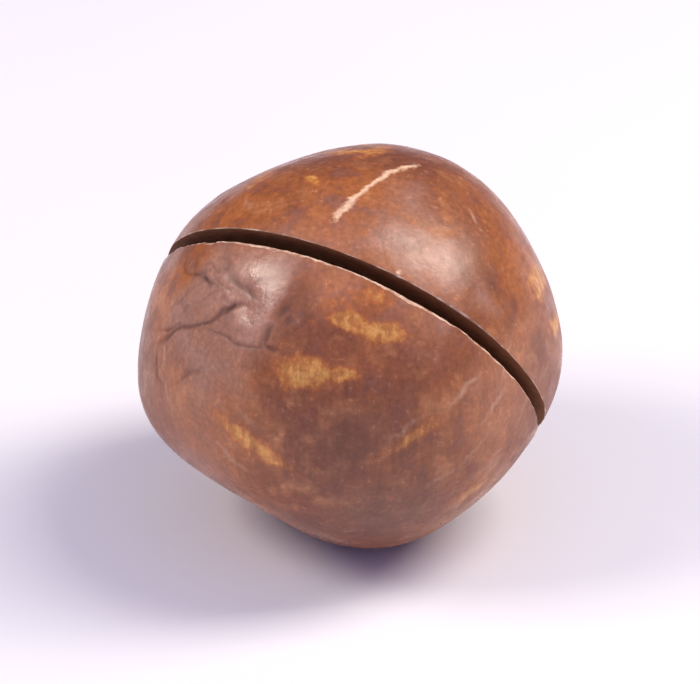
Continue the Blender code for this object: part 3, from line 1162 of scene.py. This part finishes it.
class NUT_OT_shell(bpy.types.Operator):
    """Model the shell with its hollow, its saw slot and the marks in its skin"""

    bl_idname = "nut.shell"
    bl_label = "Make the shell"

    def execute(self, context):
        noise.seed_set(NOISE_SEED)
        look = context.scene.nut_shell
        hollow_radius = SHELL_RADIUS - look.wall
        outside = shell_outside()
        middle = place_of_middle(outside)
        shell = make_object("sawn_shell", outside, middle, polished_shell_skin(look))

        hollow = bmesh.new()
        bmesh.ops.create_icosphere(hollow, subdivisions=5, radius=hollow_radius)
        hollow_cutter = make_object("hollow", hollow, middle, glazed_shell_lining())
        saw = saw_cutter(middle, look.slot_width / 2, hollow_radius, sawn_shell_wall())
        mark_chips(saw, middle, broken_skin_edge(look))
        carve(shell, [hollow_cutter, saw])
        finish_carved(shell.data)
        write_skin_marks(shell.data, middle)
        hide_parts("shell")
        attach(shell, "root")
        return {"FINISHED"}


class NUT_OT_kernel(bpy.types.Operator):
    """Give the kernel its finish"""

    bl_idname = "nut.kernel"
    bl_label = "Finish the kernel"

    def execute(self, context):
        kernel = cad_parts["kernel"]
        material = dried_kernel(context.scene.nut_kernel)
        if not kernel.material_slots:
            raise RuntimeError("the kernel has no material slot")
        for slot in kernel.material_slots:
            slot.material = material
        return {"FINISHED"}


class NUT_OT_stage(bpy.types.Operator):
    """Make the floor, the lights and the camera"""

    bl_idname = "nut.stage"
    bl_label = "Make the stage"

    def execute(self, context):
        look = context.scene.nut_stage
        scene = context.scene
        low, high = CAD_BOX
        target = (low + high) / 2

        plane = bmesh.new()
        bmesh.ops.create_grid(plane, x_segments=1, y_segments=1, size=look.floor_size / 2)
        mesh = bpy.data.meshes.new("floor")
        plane.to_mesh(mesh)
        plane.free()
        mesh.materials.append(matt_paper_floor())
        floor = bpy.data.objects.new("floor", mesh)
        scene.collection.objects.link(floor)

        add_softbox("right_softbox", RIGHT_SOFTBOX, look.right_power, target)
        add_softbox("left_softbox", LEFT_SOFTBOX, look.left_power, target)
        scene.world = pale_room(look.sky_strength)
        scene.view_settings.view_transform = "Standard"

        lens = bpy.data.cameras.new("camera")
        lens.lens = LENS_MM
        lens.sensor_width = SENSOR_MM
        lens.clip_start, lens.clip_end = CLIP
        camera = bpy.data.objects.new("camera", lens)
        rise = look.camera_elevation
        back = Vector((0, -math.cos(rise), math.sin(rise)))
        camera.location = target + back * look.camera_distance
        camera.rotation_mode = "QUATERNION"
        camera.rotation_quaternion = back.to_track_quat("Z", "Y")
        scene.collection.objects.link(camera)
        scene.camera = camera
        return {"FINISHED"}


class NUT_PT_panel(bpy.types.Panel):
    """Lists the nut's pieces and its stage"""

    bl_idname = "NUT_PT_panel"
    bl_label = "Macadamia nut"
    bl_space_type = "VIEW_3D"
    bl_region_type = "UI"
    bl_category = "Macadamia"

    def draw(self, context):
        for group, operator in OPERATORS.items():
            box = self.layout.box()
            settings = getattr(context.scene, group)
            for name in settings.__annotations__:
                box.prop(settings, name)
            box.operator(operator.bl_idname)


GROUPS = {"nut_shell": ShellLook, "nut_kernel": KernelLook, "nut_stage": StageLook}
OPERATORS = {"nut_shell": NUT_OT_shell, "nut_kernel": NUT_OT_kernel, "nut_stage": NUT_OT_stage}
CLASSES = (*GROUPS.values(), *OPERATORS.values(), NUT_PT_panel)


def register():
    for cls in CLASSES:
        bpy.utils.register_class(cls)
    for name, group in GROUPS.items():
        setattr(bpy.types.Scene, name, PointerProperty(type=group))


def unregister():
    for name in GROUPS:
        delattr(bpy.types.Scene, name)
    for cls in reversed(CLASSES):
        bpy.utils.unregister_class(cls)


def main():
    register()
    bpy.ops.nut.shell()
    bpy.ops.nut.kernel()
    bpy.ops.nut.stage()


if __name__ == "__main__":
    main()
